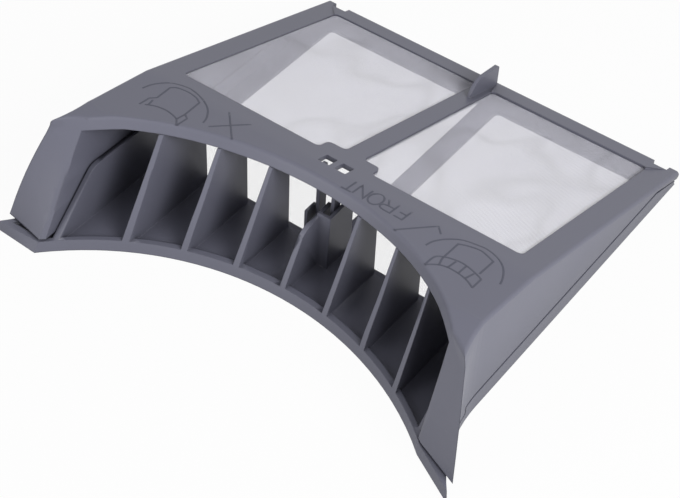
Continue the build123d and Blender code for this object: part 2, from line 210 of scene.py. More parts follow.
def solid_height(run):
    """Height of the solid's panel in millimetres at a run from the rear edge."""
    sloped_end = BEND_RUN - BEND_TANGENT * math.cos(PANEL_SLOPE)
    level_start = BEND_RUN + BEND_TANGENT
    if run < sloped_end:
        return REAR_HEIGHT + run * math.tan(PANEL_SLOPE)
    if run > level_start:
        return EAR_HEIGHT
    return EAR_HEIGHT - BEND_RADIUS + math.sqrt(BEND_RADIUS**2 - (level_start - run) ** 2)


def panel_height(run):
    """Height of the real panel, which flattens sooner than the solid's."""
    flatter = FLAT_HEIGHT + (run - FLAT_RUN) * FLAT_SLOPE
    return min(solid_height(run), flatter) if run > FLAT_RUN else solid_height(run)


def arc_front(across, height, head):
    """Front arc at a place, from floor level up to the arc given for HEAD_HEIGHT."""
    part = height / HEAD_HEIGHT
    middle, rearmost, radius = (low + (high - low) * part for low, high in zip(ARC_FOOT, head))
    return rearmost - radius + math.sqrt(radius**2 - (across - middle) ** 2)


def corner_across(height):
    """Where the arc ends and the post's plate begins, from the middle."""
    return HALF_WIDTH - CORNER_INSET - CORNER_LEAN * height / HEAD_HEIGHT


def solid_plate(across, height):
    """Front of the solid's post plate at a place."""
    ends = []
    for level in PLATE_LEVELS:
        inner = corner_across(level)
        corners = [arc_front(side * inner, level, SOLID_HEAD) for side in (-1, 1)]
        start = corners[across > 0]
        tip_across = HALF_WIDTH + TIP_REACH - TIP_LEAN * level / HEAD_HEIGHT
        tip = sum(corners) / 2 - TIP_AHEAD - TIP_AHEAD_LEAN * level / HEAD_HEIGHT
        ends.append((start, start + (tip - start) * (PLATE_REACH - inner) / (tip_across - inner)))
    part = (height - PLATE_LEVELS[0]) / (PLATE_LEVELS[1] - PLATE_LEVELS[0])
    start, end = (low + (high - low) * part for low, high in zip(*ends))
    inner = corner_across(height)
    return start + (end - start) * (abs(across) - inner) / (PLATE_REACH - inner)


def solid_edge(side, height):
    """Outer edge of the solid's post plate, where it meets the flared side."""
    across = HALF_WIDTH
    for _ in range(EDGE_ROUNDS):
        ahead = max(-solid_plate(side * across, height) - FLARE_RUN, 0.0)
        across = HALF_WIDTH + FLARE_RADIUS - math.sqrt(FLARE_RADIUS**2 - ahead**2)
    return across


def real_plate(across, height):
    """Front of the real post plate, straight from the arc's end to the outer edge."""
    inner = corner_across(height)
    start = arc_front(math.copysign(inner, across), height, REAL_HEAD)
    edge_across, edge = real_edge(height)
    return start + (edge - start) * min((abs(across) - inner) / (edge_across - inner), 1.0)


def real_edge(height):
    """Outer edge of the real post, slightly bowed: its place across and along."""
    part = height / HEAD_HEIGHT
    # One at half of HEAD_HEIGHT, nothing at its ends and beyond
    swell = 4.0 * max(part * (1.0 - part), 0.0)
    ends = zip(EDGE_FOOT, EDGE_HEAD, EDGE_BOW)
    return tuple(low + (high - low) * part + bow * swell for low, high, bow in ends)


def share(value, start, end):
    """How far a value has come from start to end, from 0 to 1."""
    return min(max((value - start) / (end - start), 0.0), 1.0)


def true_form(place, upper):
    """Where a point of the solid lies on the real moulding, both in millimetres from the rear edge."""
    across, along, height = place
    at_return = abs(abs(across) - RETURN_MIDDLE) < RETURN_HALF
    if upper and at_return and abs(along + RETURN_REAR) < RETURN_SLACK:
        along = -RETURN_REAL_REAR
    raised = share(height, RIM_TOP, solid_height(-along)) if -along > FORM_RUN else 0.0
    if upper and abs(across) > corner_across(height):
        across, along = true_post(across, along, height)
    elif abs(across) < HALF_WIDTH:
        front = arc_front(across, height, SOLID_HEAD)
        near = share(front - along, -NEAR_END, -NEAR_START)
        near *= 1.0 if upper else share(height, RIM_TOP, 2 * RIM_TOP)
        level = height + (panel_height(-along) - solid_height(-along)) * raised
        along += (arc_front(across, level, REAL_HEAD) - front) * near
    if raised > 0.0:
        height = RIM_TOP + (panel_height(-along) - RIM_TOP) * raised
        height += 0.0 if upper else FIN_LIFT * share(raised, *FIN_TOP)
    elif upper and height < FOOT_TOP:
        height += FOOT_LIFT * share(-along, FLARE_RUN, RIM_FRONT)
    elif upper and abs(height - SEAM_HEIGHT) < SEAM_SLACK:
        height += SEAM_LIFT
    return across, along, height


def true_post(across, along, height):
    """Place across and along, on the real post, of a point of the solid's."""
    front = solid_plate(across, height)
    inner = corner_across(height)
    faded = share(height, PLATE_FADE, PLATE_TOP) * share(abs(across), inner, inner + PLATE_JOIN)
    near = share(front - along, -NEAR_END, -NEAR_START) * (1.0 - faded)
    side = math.copysign(1.0, across)
    scale = (real_edge(height)[0] - inner) / (solid_edge(side, height) - inner)
    moved = side * (inner + (abs(across) - inner) * scale)
    return across + (moved - across) * near, along + (real_plate(moved, height) - front) * near


def panel_point(across, run):
    """Point of the frame, in metres, on the panel at a place in millimetres."""
    place = (across + REAR_EDGE[0], REAR_EDGE[1] - run, panel_height(run))
    return Vector(place) * MM


def panel_normal(run):
    """Outward direction of the panel's face at a run from the rear edge."""
    step = 0.05
    rise = (panel_height(run + step) - panel_height(run - step)) / (2 * step)
    return Vector((0.0, rise, 1.0)).normalized()


class LintFilterMoulding(bpy.types.PropertyGroup):
    """Plastic of the two mouldings"""

    colour: bpy.props.FloatVectorProperty(
        name="Plastic Colour",
        description="Colour of the grey plastic",
        subtype="COLOR",
        size=3,
        min=0.0,
        max=1.0,
        default=(0.132, 0.134, 0.176),
    )
    roughness: bpy.props.FloatProperty(
        name="Roughness",
        description="Mean roughness of the moulded face",
        subtype="FACTOR",
        min=0.0,
        max=1.0,
        default=0.46,
    )
    smooth_angle: bpy.props.FloatProperty(
        name="Smooth Angle",
        description="Edges flatter than this are shaded as one curved face",
        subtype="ANGLE",
        default=math.radians(24),
    )


class LintFilterGauze(bpy.types.PropertyGroup):
    """Woven gauze of the four windows"""

    colour: bpy.props.FloatVectorProperty(
        name="Thread Colour",
        description="Colour of the gauze threads",
        subtype="COLOR",
        size=3,
        min=0.0,
        max=1.0,
        default=(0.75, 0.745, 0.825),
    )
    pitch: bpy.props.FloatProperty(
        name="Thread Pitch",
        description="Distance from one thread to the next",
        subtype="DISTANCE",
        unit="LENGTH",
        default=0.42 * MM,
    )
    upper_share: bpy.props.FloatProperty(
        name="Upper Thread Share",
        description="Thread thickness of the upper gauze as a share of the pitch",
        subtype="FACTOR",
        default=0.28,
    )
    lower_share: bpy.props.FloatProperty(
        name="Lower Thread Share",
        description="Thread thickness of the lower gauze as a share of the pitch",
        subtype="FACTOR",
        default=0.255,
    )
    lower_cover: bpy.props.FloatProperty(
        name="Lower Thread Cover",
        description="How far the thin threads of the lower gauze hide what is behind them",
        subtype="FACTOR",
        min=0.0,
        max=1.0,
        default=0.16,
    )
    slack: bpy.props.FloatProperty(
        name="Slack",
        description="Height of the gentle waves in the stretched gauze",
        subtype="DISTANCE",
        unit="LENGTH",
        default=0.55 * MM,
    )


class LintFilterMarks(bpy.types.PropertyGroup):
    """Marks moulded in the panel's front"""

    # Painted shade: the groove colour is the panel's plastic darkened to stand for the shadow inside the
    # engraved lines, which are only shallow bars
    colour: bpy.props.FloatVectorProperty(
        name="Groove Shade Colour",
        description="Colour at the bottom of the moulded grooves",
        subtype="COLOR",
        size=3,
        min=0.0,
        max=1.0,
        default=(0.080, 0.083, 0.115),
    )
    width: bpy.props.FloatProperty(
        name="Groove Width",
        description="Width of a moulded line",
        subtype="DISTANCE",
        unit="LENGTH",
        default=1.0 * MM,
    )


class LintFilterStudio(bpy.types.PropertyGroup):
    """Floor and light"""

    floor_colour: bpy.props.FloatVectorProperty(
        name="Floor Colour",
        description="Colour of the pale floor",
        subtype="COLOR",
        size=3,
        min=0.0,
        max=1.0,
        default=(0.72, 0.72, 0.72),
    )
    floor_white: bpy.props.FloatProperty(
        name="Floor White",
        description="Share of the floor that shows plain white to the camera",
        subtype="FACTOR",
        default=0.95,
    )
    sky: bpy.props.FloatProperty(
        name="Sky Level",
        description="Strength of the even light from all sides",
        default=0.38,
    )
    key: bpy.props.FloatProperty(
        name="Key Power",
        description="Power of the large soft lamp on the right",
        subtype="POWER",
        default=12.0,
    )
    front: bpy.props.FloatProperty(
        name="Front Power",
        description="Power of the soft lamp at the left of the open front",
        subtype="POWER",
        default=3.7,
    )


class Value:
    """One number socket of a node tree, so that sums and products read as plain expressions."""

    def __init__(self, tree, socket):
        self.tree = tree
        self.socket = socket

    def math(self, operation, first, second):
        """Adds one Math node and gives its result."""
        node = self.tree.nodes.new("ShaderNodeMath")
        node.operation = operation
        for place, value in zip(node.inputs, (first, second)):
            if isinstance(value, Value):
                self.tree.links.new(value.socket, place)
            else:
                place.default_value = value
        return Value(self.tree, node.outputs[0])

    def __add__(self, other):
        return self.math("ADD", self, other)

    def __radd__(self, other):
        return self.math("ADD", other, self)

    def __sub__(self, other):
        return self.math("SUBTRACT", self, other)

    def __rsub__(self, other):
        return self.math("SUBTRACT", other, self)

    def __mul__(self, other):
        return self.math("MULTIPLY", self, other)

    def __rmul__(self, other):
        return self.math("MULTIPLY", other, self)

    def __truediv__(self, other):
        return self.math("DIVIDE", self, other)

    def __rtruediv__(self, other):
        return self.math("DIVIDE", other, self)

    def __lt__(self, other):
        return self.math("LESS_THAN", self, other)

    def __abs__(self):
        return self.math("ABSOLUTE", self, 0.0)

    def floor(self):
        """Next whole number down."""
        return self.math("FLOOR", self, 0.0)

    def lower_of(self, other):
        """Smaller of two values."""
        return self.math("MINIMUM", self, other)

    def higher_of(self, other):
        """Larger of two values."""
        return self.math("MAXIMUM", self, other)


class Nodes:
    """One node tree and its one way of adding nodes."""

    def __init__(self, tree):
        self.tree = tree
        self.tree.nodes.clear()

    def add(self, kind, settings=None, links=None):
        """Adds a node: settings first, then the values or links of its sockets by name or place."""
        node = self.tree.nodes.new(kind)
        for name, value in (settings or {}).items():
            setattr(node, name, value)
        for name, value in (links or {}).items():
            place = node.inputs[name]
            if isinstance(value, Value):
                self.tree.links.new(value.socket, place)
            elif isinstance(value, bpy.types.NodeSocket):
                self.tree.links.new(value, place)
            else:
                place.default_value = value
        return node

    def value(self, socket):
        """A number socket ready for expressions."""
        return Value(self.tree, socket)

    def noise(self, place, scale, detail=2.0):
        """Plain noise from 0 to 1 over a vector socket."""
        links = {"Vector": place, "Scale": scale, "Detail": detail}
        return self.value(self.add("ShaderNodeTexNoise", None, links).outputs[0])


def new_material(name):
    """An empty node material and its nodes."""
    material = bpy.data.materials.new(name)
    material.use_nodes = True
    return material, Nodes(material.node_tree)


def close_material(nodes, shader):
    """Joins the last shader to the material's output."""
    nodes.add("ShaderNodeOutputMaterial", None, {"Surface": shader.outputs[0]})


def toned(colour, level):
    """A darker or lighter tone of one colour, as four numbers."""
    return tuple(part * level for part in colour) + (1.0,)


def mixed_colour(nodes, factor, low, high):
    """Colour between two tones by a value."""
    # A Mix node names its number, vector and colour sockets alike, so they go by place
    links = {0: factor, 6: low, 7: high}
    mix = nodes.add("ShaderNodeMix", {"data_type": "RGBA"}, links)
    return mix.outputs[2]


def moulded_plastic(name, colour, roughness):
    """Satin moulded plastic: faint flow shades, fine grain, softened edges, and painted shade that darkens
    the colour in corners and recesses.
    """
    material, nodes = new_material(name)
    place = nodes.add("ShaderNodeTexCoord").outputs["Object"]
    flow = nodes.noise(place, FLOW_SCALE, detail=3.0)
    grain = nodes.noise(place, GRAIN_SCALE)
    low, high = (toned(colour, level) for level in FACE_TONES)
    face = mixed_colour(nodes, flow * (1.0 - GRAIN_SHARE) + grain * GRAIN_SHARE, low, high)
    # Painted shade: the base colour darkens in corners and recesses, such as between the fins, by how
    # closely other faces surround the point
    painted_shade_tone = toned(colour, PAINTED_CORNER_SHADE)
    shade_occlusion = nodes.add(
        "ShaderNodeAmbientOcclusion",
        {"samples": PAINTED_SHADE_SAMPLES},
        {"Distance": PAINTED_SHADE_REACH * MM},
    )
    edge = nodes.add("ShaderNodeBevel", {"samples": EDGE_SAMPLES}, {"Radius": EDGE_ROUND * MM})
    bump_links = {
        "Strength": GRAIN_STRENGTH,
        "Distance": GRAIN_DEPTH * MM,
        "Height": grain,
        "Normal": edge.outputs[0],
    }
    bump = nodes.add("ShaderNodeBump", None, bump_links)
    mean_change = (FLOW_ROUGHNESS + GRAIN_ROUGHNESS) / 2
    links = {
        "Base Color": mixed_colour(nodes, shade_occlusion.outputs["AO"], painted_shade_tone, face),
        "Roughness": flow * FLOW_ROUGHNESS + grain * GRAIN_ROUGHNESS + (roughness - mean_change),
        "Normal": bump.outputs[0],
    }
    close_material(nodes, nodes.add("ShaderNodeBsdfPrincipled", None, links))
    return material


def gauze_thread(name, colour, cover):
    """Pale nylon thread with painted sheen in slow streaks and painted shade in thin fold lines along the
    cloth.
    """
    material, nodes = new_material(name)
    place = nodes.add("ShaderNodeTexCoord").outputs["Object"]
    mapping = nodes.add("ShaderNodeMapping", None, {"Vector": place, "Scale": STREAK_STRETCH})
    stretched = mapping.outputs[0]
    # Painted sheen and shade: the thread's colour is lighter in slow streaks and darker along thin fold
    # lines
    streaks = nodes.noise(stretched, SHEEN_STREAK_SCALE, detail=3.0)
    fold_shade = abs(nodes.noise(stretched, FOLD_SHADE_SCALE) - 0.5) * FOLD_SHADE_SHARPNESS
    tone = streaks * (1.0 - FOLD_SHADE_SHARE) + fold_shade.lower_of(1.0) * FOLD_SHADE_SHARE
    low, high = (toned(colour, level) for level in THREAD_SHEEN_AND_SHADE_TONES)
    links = {
        "Base Color": mixed_colour(nodes, tone, low, high),
        "Roughness": streaks * STREAK_ROUGHNESS + THREAD_ROUGHNESS,
        "Alpha": cover,
    }
    close_material(nodes, nodes.add("ShaderNodeBsdfPrincipled", None, links))
    return material


def new_piece(name, mesh, body, slot_name, *nodes):
    """Links a finished mesh at the origin, on its body, in place of the CAD nodes it stands for."""
    piece = bpy.data.objects.new(name, mesh)
    bpy.context.scene.collection.objects.link(piece)
    if nodes:
        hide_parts(*nodes)
    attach(piece, body)
    return piece


def cut_across(work, place, normal):
    """Adds a line of vertices where a plane, placed in millimetres, crosses the mesh."""
    everything = work.verts[:] + work.edges[:] + work.faces[:]
    bmesh.ops.bisect_plane(work, geom=everything, plane_co=Vector(place) * MM, plane_no=normal)


def smooth_copy(node_name, angle):
    """A merged copy of a CAD node's mesh, brought to the real form, with its curved faces shaded smooth."""
    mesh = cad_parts[node_name].data.copy()
    mesh.name = node_name + "_smooth"
    mesh.materials.clear()
    work = bmesh.new()
    work.from_mesh(mesh)
    bmesh.ops.remove_doubles(work, verts=work.verts, dist=MERGE_GAP * MM)
    upper = node_name == "upper_frame"
    for run in (FLAT_RUN, LEVEL_RUN):
        cut_across(work, (0.0, REAR_EDGE[1] - run, 0.0), (0.0, 1.0, 0.0))
    if upper:
        for height in WALL_CUTS:
            cut_across(work, (0.0, 0.0, height), (0.0, 0.0, 1.0))
    origin = Vector((*REAR_EDGE, 0.0))
    for vert in work.verts:
        place = vert.co / MM - origin
        vert.co = (Vector(true_form(place, upper)) + origin) * MM
    work.to_mesh(mesh)
    work.free()
    mesh.polygons.foreach_set("use_smooth", [True] * len(mesh.polygons))
    mesh.set_sharp_from_angle(angle=angle)
    holder = bpy.data.objects.new(mesh.name, mesh)
    bpy.context.scene.collection.objects.link(holder)
    weighted = holder.modifiers.new("Face weights", "WEIGHTED_NORMAL")
    weighted.keep_sharp = True
    weighted.weight = FACE_WEIGHT
    return plain_mesh(holder)


def plain_mesh(holder):
    """The evaluated mesh of an object as plain data; the object itself is removed."""
    bpy.context.view_layer.update()
    evaluated = holder.evaluated_get(bpy.context.evaluated_depsgraph_get())
    mesh = bpy.data.meshes.new_from_object(evaluated)
    holder.modifiers.clear()
    bpy.data.objects.remove(holder)
    return mesh


def weave_tree():
    """Geometry tree for one stretched gauze: two layers of straight threads with gentle waves."""
    tree = bpy.data.node_groups.new("Woven gauze", "GeometryNodeTree")
    cloth = ("Width", "Length", "Pitch", "Thread", "Slack", "Fade")
    for name in (*cloth, "Notch Width", "Notch Length", "Side", "Seed"):
        tree.interface.new_socket(name, in_out="INPUT", socket_type="NodeSocketFloat")
    tree.interface.new_socket("Finish", in_out="INPUT", socket_type="NodeSocketMaterial")
    tree.interface.new_socket("Gauze", in_out="OUTPUT", socket_type="NodeSocketGeometry")
    nodes = Nodes(tree)
    entry = nodes.add("NodeGroupInput")
    given = {socket.name: nodes.value(socket) for socket in entry.outputs if socket.name}
    warp = thread_layer(nodes, given, along_length=True)
    weft = thread_layer(nodes, given, along_length=False)
    joined = nodes.add("GeometryNodeJoinGeometry")
    tree.links.new(warp, joined.inputs[0])
    tree.links.new(weft, joined.inputs[0])
    waved = nodes.add(
        "GeometryNodeSetPosition",
        None,
        {"Geometry": joined.outputs[0], "Offset": wave_offset(nodes, given)},
    )
    section = nodes.add(
        "GeometryNodeCurvePrimitiveCircle",
        {"mode": "RADIUS"},
        {"Resolution": THREAD_SIDES, "Radius": given["Thread"] * 0.5},
    )
    tubes = nodes.add(
        "GeometryNodeCurveToMesh",
        None,
        {"Curve": waved.outputs[0], "Profile Curve": section.outputs[0], "Fill Caps": True},
    )
    realized = nodes.add("GeometryNodeRealizeInstances", None, {"Geometry": tubes.outputs[0]})
    painted = nodes.add(
        "GeometryNodeSetMaterial",
        None,
        {"Geometry": realized.outputs[0], "Material": given["Finish"]},
    )
    nodes.add("NodeGroupOutput", None, {0: painted.outputs[0]})
    return tree


def thread_layer(nodes, given, along_length):
    """Parallel threads of one direction, cut short where the gauze is notched."""
    span, reach = ("Width", "Length") if along_length else ("Length", "Width")
    across, along = ("X", "Y") if along_length else ("Y", "X")
    cut_span = given["Notch " + span]
    cut_reach = given["Notch " + reach]
    count = (given[span] / given["Pitch"]).floor()
    start = (count - 1.0) * given["Pitch"] * -0.5
    layer = given["Thread"] * (LAYER_SHARE if along_length else -LAYER_SHARE)
    row = {
        "Count": count,
        "Start Location": vector(nodes, {across: start, "Z": layer}),
        "Offset": vector(nodes, {across: given["Pitch"]}),
    }
    points = nodes.add("GeometryNodeMeshLine", {"mode": "OFFSET"}, row)
    place = nodes.add("GeometryNodeInputPosition").outputs[0]
    stacked = nodes.value(nodes.add("ShaderNodeSeparateXYZ", None, {0: place}).outputs[across])
    from_edge = (stacked * given["Side"] if along_length else stacked) + given[span] * 0.5
    cut = from_edge < cut_span
    shift = cut * cut_reach * 0.5
    keep = 1.0 - cut * (cut_reach / given[reach])
    offset = vector(nodes, {along: shift if along_length else shift * given["Side"]})
    moved = {"Geometry": points.outputs[0], "Offset": offset}
    placed = nodes.add("GeometryNodeSetPosition", None, moved)
    half = given[reach] * 0.5
    ends = {"Start": vector(nodes, {along: half * -1.0}), "End": vector(nodes, {along: half})}
    line = nodes.add("GeometryNodeCurvePrimitiveLine", None, ends)
    fine = {"Curve": line.outputs[0], "Count": THREAD_POINTS}
    bent = nodes.add("GeometryNodeResampleCurve", None, fine)
    copies = {
        "Points": placed.outputs[0],
        "Instance": bent.outputs[0],
        "Scale": vector(nodes, {across: 1.0, along: keep, "Z": 1.0}),
    }
    threads = nodes.add("GeometryNodeInstanceOnPoints", None, copies)
    realized = nodes.add("GeometryNodeRealizeInstances", None, {"Geometry": threads.outputs[0]})
    return realized.outputs[0]


def vector(nodes, parts):
    """Vector from the values of some of its axes."""
    return nodes.add("ShaderNodeCombineXYZ", None, parts).outputs[0]


def wave_offset(nodes, given):
    """Gentle waves that fade out towards the seat all round."""
    place = nodes.add("GeometryNodeInputPosition").outputs[0]
    parts = nodes.add("ShaderNodeSeparateXYZ", None, {0: place}).outputs
    across = nodes.value(parts["X"])
    along = nodes.value(parts["Y"])
    side_room = given["Width"] * 0.5 - abs(across)
    end_room = given["Length"] * 0.5 - abs(along)
    free = (side_room.lower_of(end_room) / given["Fade"]).lower_of(1.0).higher_of(0.0)
    spread = {"X": across * WAVE_SCALES[0], "Y": along * WAVE_SCALES[1], "Z": given["Seed"]}
    waves = nodes.noise(vector(nodes, spread), scale=1.0, detail=1.0)
    return vector(nodes, {"Z": (waves - 0.5) * 2.0 * given["Slack"] * free})


def woven_gauze(tree, node_name, sloped, side, seed, settings, finish):
    """Plain mesh of one gauze in its seat, and its flat width, length and area."""
    low, high = (Vector(corner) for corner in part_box(node_name))
    slope = PANEL_SLOPE if sloped else 0.0
    width = high.x - low.x - 2 * GAUZE_INSET
    length = (high.y - low.y - GAUZE_THICK * math.sin(slope)) / math.cos(slope) - 2 * GAUZE_INSET
    thread_share = settings.upper_share if sloped else settings.lower_share
    holder = bpy.data.objects.new(node_name + "_threads", bpy.data.meshes.new("threads"))
    bpy.context.scene.collection.objects.link(holder)
    weave = holder.modifiers.new("Weave", "NODES")
    weave.node_group = tree
    sizes = {
        "Width": width,
        "Length": length,
        "Pitch": settings.pitch,
        "Thread": settings.pitch * thread_share,
        "Slack": settings.slack if sloped else settings.slack * LOWER_SLACK,
        "Fade": WAVE_FADE,
        "Notch Width": NOTCH_WIDTH if sloped else 0.0,
        "Notch Length": NOTCH_LENGTH if sloped else 0.0,
        "Side": float(side),
        "Seed": seed,
        "Finish": finish,
    }
    for item in tree.interface.items_tree:
        if item.in_out == "INPUT":
            weave[item.identifier] = sizes[item.name]
    mesh = plain_mesh(holder)
    if not mesh.polygons:
        raise RuntimeError(f"{node_name}: the weave gave no threads")
    turn = Matrix.Rotation(-slope, 4, "X")
    mesh.transform(Matrix.Translation((low + high) / 2) @ turn)
    area = width * length - sizes["Notch Width"] * sizes["Notch Length"]
    return mesh, (width, length), area


def curve_through(points):
    """Smooth line through the given places, with some points between each pair."""
    line = []
    for index in range(len(points) - 1):
        before = Vector(points[max(index - 1, 0)])
        start = Vector(points[index])
        end = Vector(points[index + 1])
        after = Vector(points[min(index + 2, len(points) - 1)])
        for step in range(CURVE_STEPS):
            part = step / CURVE_STEPS
            rise = (end - before) * part
            bend = (2 * before - 5 * start + 4 * end - after) * part**2
            twist = (3 * start - before - 3 * end + after) * part**3
            line.append(0.5 * (2 * start + rise + bend + twist))
    line.append(Vector(points[-1]))
    return [tuple(point) for point in line]


def letter_strokes():
    """Strokes of the word that says which side faces forward, read from the front of the machine."""
    foot, head, middle = LETTER_FOOT, LETTER_HEAD, LETTER_MIDDLE
    bowl = [(39.2, head), (36.7, 171.4), (36.0, 169.8), (36.9, 168.2), (39.2, middle)]
    half_width, half_height = RING_HALVES
    ring = []
    for step in range(RING_STEPS + 1):
        angle = math.tau * step / RING_STEPS
        across = RING_ACROSS + half_width * math.cos(angle)
        ring.append((across, (foot + head) / 2 + half_height * math.sin(angle)))
    return [
        [(50.2, foot), (50.2, head), (45.2, head)],
        [(50.2, middle), (46.0, middle)],
        [(42.9, foot), (42.9, head), (39.2, head)],
        [(42.9, middle), (39.2, middle), (36.6, foot)],
        [(26.8, foot), (26.8, head), (20.4, foot), (20.4, head)],
        [(16.6, foot), (16.6, head)],
        [(19.6, head), (13.6, head)],
        curve_through(bowl),
        ring,
    ]


def pictogram_strokes():
    """Strokes of the cross, the tick and the two small drawings of the filter."""
    cross = [
        [(-65.2, 162.2), (-48.8, 180.2)],
        [(-63.8, 180.4), (-50.3, 162.6)],
    ]
    tick = [[(52.1, 181.4), (65.8, 163.1), (70.1, 167.6)]]
    return cross + tick + open_filter_strokes() + closed_filter_strokes()


def open_filter_strokes():
    """Strokes of the left drawing: the filter turned away in the door opening."""
    door = [(-109.4, 178.8), (-108.4, 172.6), (-105.0, 166.4), (-100.4, 162.4), (-92.8, 160.1)]
    door += [(-83.1, 162.9), (-74.8, 168.0), (-69.6, 174.8), (-67.9, 179.9)]
    top = [(-100.2, 167.7), (-97.4, 165.0), (-91.1, 163.8), (-85.1, 164.8), (-80.9, 167.2)]
    body = [(-98.5, 179.9)] + curve_through(top)
    body += [(-78.9, 180.7), (-79.1, 187.2), (-75.6, 191.6)]
    arch = [(-79.1, 187.2), (-83.0, 185.9), (-87.6, 185.2), (-92.1, 185.8), (-95.3, 187.1), (-98.5, 189.3)]
    return [
        curve_through(door),
        body,
        curve_through(arch),
        [(-78.6, 181.1), (-75.7, 183.1), (-75.5, 189.2), (-75.4, 191.3)],
        [(-100.7, 191.0), (-100.9, 183.2), (-98.5, 179.9)],
        [(-98.6, 183.0), (-97.1, 188.4)],
    ]


def closed_filter_strokes():
    """Strokes of the right drawing: the filter with its fins to the door opening."""
    door = [(69.7, 180.2), (70.6, 175.0), (74.4, 168.7), (80.4, 163.5), (88.5, 161.0)]
    door += [(92.5, 160.6), (97.8, 162.0), (103.2, 165.2), (107.1, 169.5), (109.9, 175.1)]
    door += [(111.1, 179.2)]
    top = [(80.3, 167.9), (84.8, 165.6), (90.4, 164.1), (94.4, 164.9), (99.8, 167.0)]
    body = [(81.0, 183.1)] + curve_through(top) + [(100.0, 179.8)]
    brow = [(77.6, 192.8), (77.5, 185.6), (79.1, 182.6), (84.0, 179.9), (90.9, 178.9)]
    brow += [(99.3, 181.1), (102.8, 182.7)]
    lip = [(77.6, 192.8), (82.0, 188.5), (86.8, 186.7), (93.4, 186.9), (99.1, 188.6), (103.1, 191.1)]
    return [
        curve_through(door),
        body,
        curve_through(brow),
        curve_through(lip),
        [(102.8, 182.7), (103.1, 191.1)],
        [(81.0, 183.1), (82.6, 188.3)],
        [(87.0, 180.1), (86.5, 187.0)],
        [(92.4, 179.7), (92.5, 186.9)],
        [(98.1, 181.5), (96.8, 188.2)],
    ]


def short_steps(stroke):
    """The same stroke in steps short enough to follow the bend of the panel."""
    line = [stroke[0]]
    for start, end in zip(stroke, stroke[1:]):
        count = math.ceil(math.dist(start, end) / STROKE_STEP)
        for step in range(1, count + 1):
            line.append(tuple(Vector(start).lerp(Vector(end), step / count)))
    return line


def sweep_groove(work, stroke, width):
    """Adds one closed shallow bar along a stroke, hollow along its middle."""
    rings = []
    closed = math.dist(stroke[0], stroke[-1]) < CLOSED_GAP
    last = len(stroke) - 1
    for index, (across, run) in enumerate(stroke):
        before = stroke[index - 1] if index else (stroke[last - 1] if closed else stroke[0])
        after = stroke[index + 1] if index < last else (stroke[1] if closed else stroke[last])
        centre = Vector((across, run))
        into = (centre - Vector(before)).normalized() if before != stroke[index] else None
        out = (Vector(after) - centre).normalized() if after != stroke[index] else None
        into = into or out
        out = out or into
        middle = (into + out).normalized()
        stretch = 1.0 / max(middle.dot(out), MITRE_LIMIT)
        sideways = Vector((-middle.y, middle.x)) * width * stretch
        normal = panel_normal(run)
        ring = []
        for part, lift in GROOVE_SECTION:
            spot = centre + sideways * part
            ring.append(work.verts.new(panel_point(spot.x, spot.y) + normal * lift * MM))
        rings.append(ring)
    if closed:
        for vert in rings.pop():
            work.verts.remove(vert)
        rings.append(rings[0])
    for one, two in zip(rings, rings[1:]):
        for index in range(len(GROOVE_SECTION)):
            beside = (index + 1) % len(GROOVE_SECTION)
            work.faces.new((one[index], one[beside], two[beside], two[index]))
    if not closed:
        work.faces.new(list(reversed(rings[0])))
        work.faces.new(rings[-1])


def direct_view(nodes):
    """One for rays that show the background itself, else zero."""
    path = nodes.add("ShaderNodeLightPath").outputs
    camera = nodes.value(path["Is Camera Ray"])
    glossy = nodes.value(path["Is Glossy Ray"])
    through = nodes.value(path["Is Transmission Ray"])
    return camera.higher_of(glossy).higher_of(through)


def add_floor(settings):
    """A wide pale floor just under the part."""
    material, nodes = new_material("Pale floor")
    matt = nodes.add("ShaderNodeBsdfDiffuse", None, {"Color": (*settings.floor_colour, 1.0)})
    white = nodes.add("ShaderNodeEmission", None, {"Strength": 1.0})
    links = {
        0: direct_view(nodes) * settings.floor_white,
        1: matt.outputs[0],
        2: white.outputs[0],
    }
    close_material(nodes, nodes.add("ShaderNodeMixShader", None, links))
    turns = ((-1, -1), (1, -1), (1, 1), (-1, 1))
    corners = [(FLOOR_HALF * across, FLOOR_HALF * along, FLOOR_LEVEL) for across, along in turns]
    mesh = bpy.data.meshes.new("floor")
    mesh.from_pydata(corners, [], [(0, 1, 2, 3)])
    mesh.materials.append(material)
    floor = bpy.data.objects.new("Floor", mesh)
    bpy.context.scene.collection.objects.link(floor)


def add_sky(scene, settings):
    """Even white surroundings: plain white to the eye, softer as light."""
    world = bpy.data.worlds.new("Studio")
    world.use_nodes = True
    nodes = Nodes(world.node_tree)
    seen = direct_view(nodes)
    strength = seen + (1.0 - seen) * settings.sky
    back = nodes.add("ShaderNodeBackground", None, {"Color": (1, 1, 1, 1), "Strength": strength})
    nodes.add("ShaderNodeOutputWorld", None, {"Surface": back.outputs[0]})
    scene.world = world


def add_lamp(name, place, size, power):
    """A large square lamp that faces the part."""
    data = bpy.data.lights.new(name, "AREA")
    data.shape = "SQUARE"
    data.size = size
    data.energy = power
    lamp = bpy.data.objects.new(name, data)
    lamp.location = place
    lamp.rotation_euler = (-Vector(place)).to_track_quat("-Z", "Y").to_euler()
    bpy.context.scene.collection.objects.link(lamp)


def add_camera(scene):
    """The camera at the photograph's viewing angle."""
    data = bpy.data.cameras.new("Camera")
    data.sensor_fit = "HORIZONTAL"
    data.sensor_width = SENSOR_WIDTH
    data.lens = SENSOR_WIDTH * FOCAL_PIXELS / IMAGE_WIDTH
    camera = bpy.data.objects.new("Camera", data)
    back = -Vector(CAMERA_AHEAD)
    turn = Matrix((CAMERA_RIGHT, CAMERA_UP, back)).transposed()
    camera.matrix_world = Matrix.Translation(CAMERA_PLACE) @ turn.to_4x4()
    scene.collection.objects.link(camera)
    scene.camera = camera


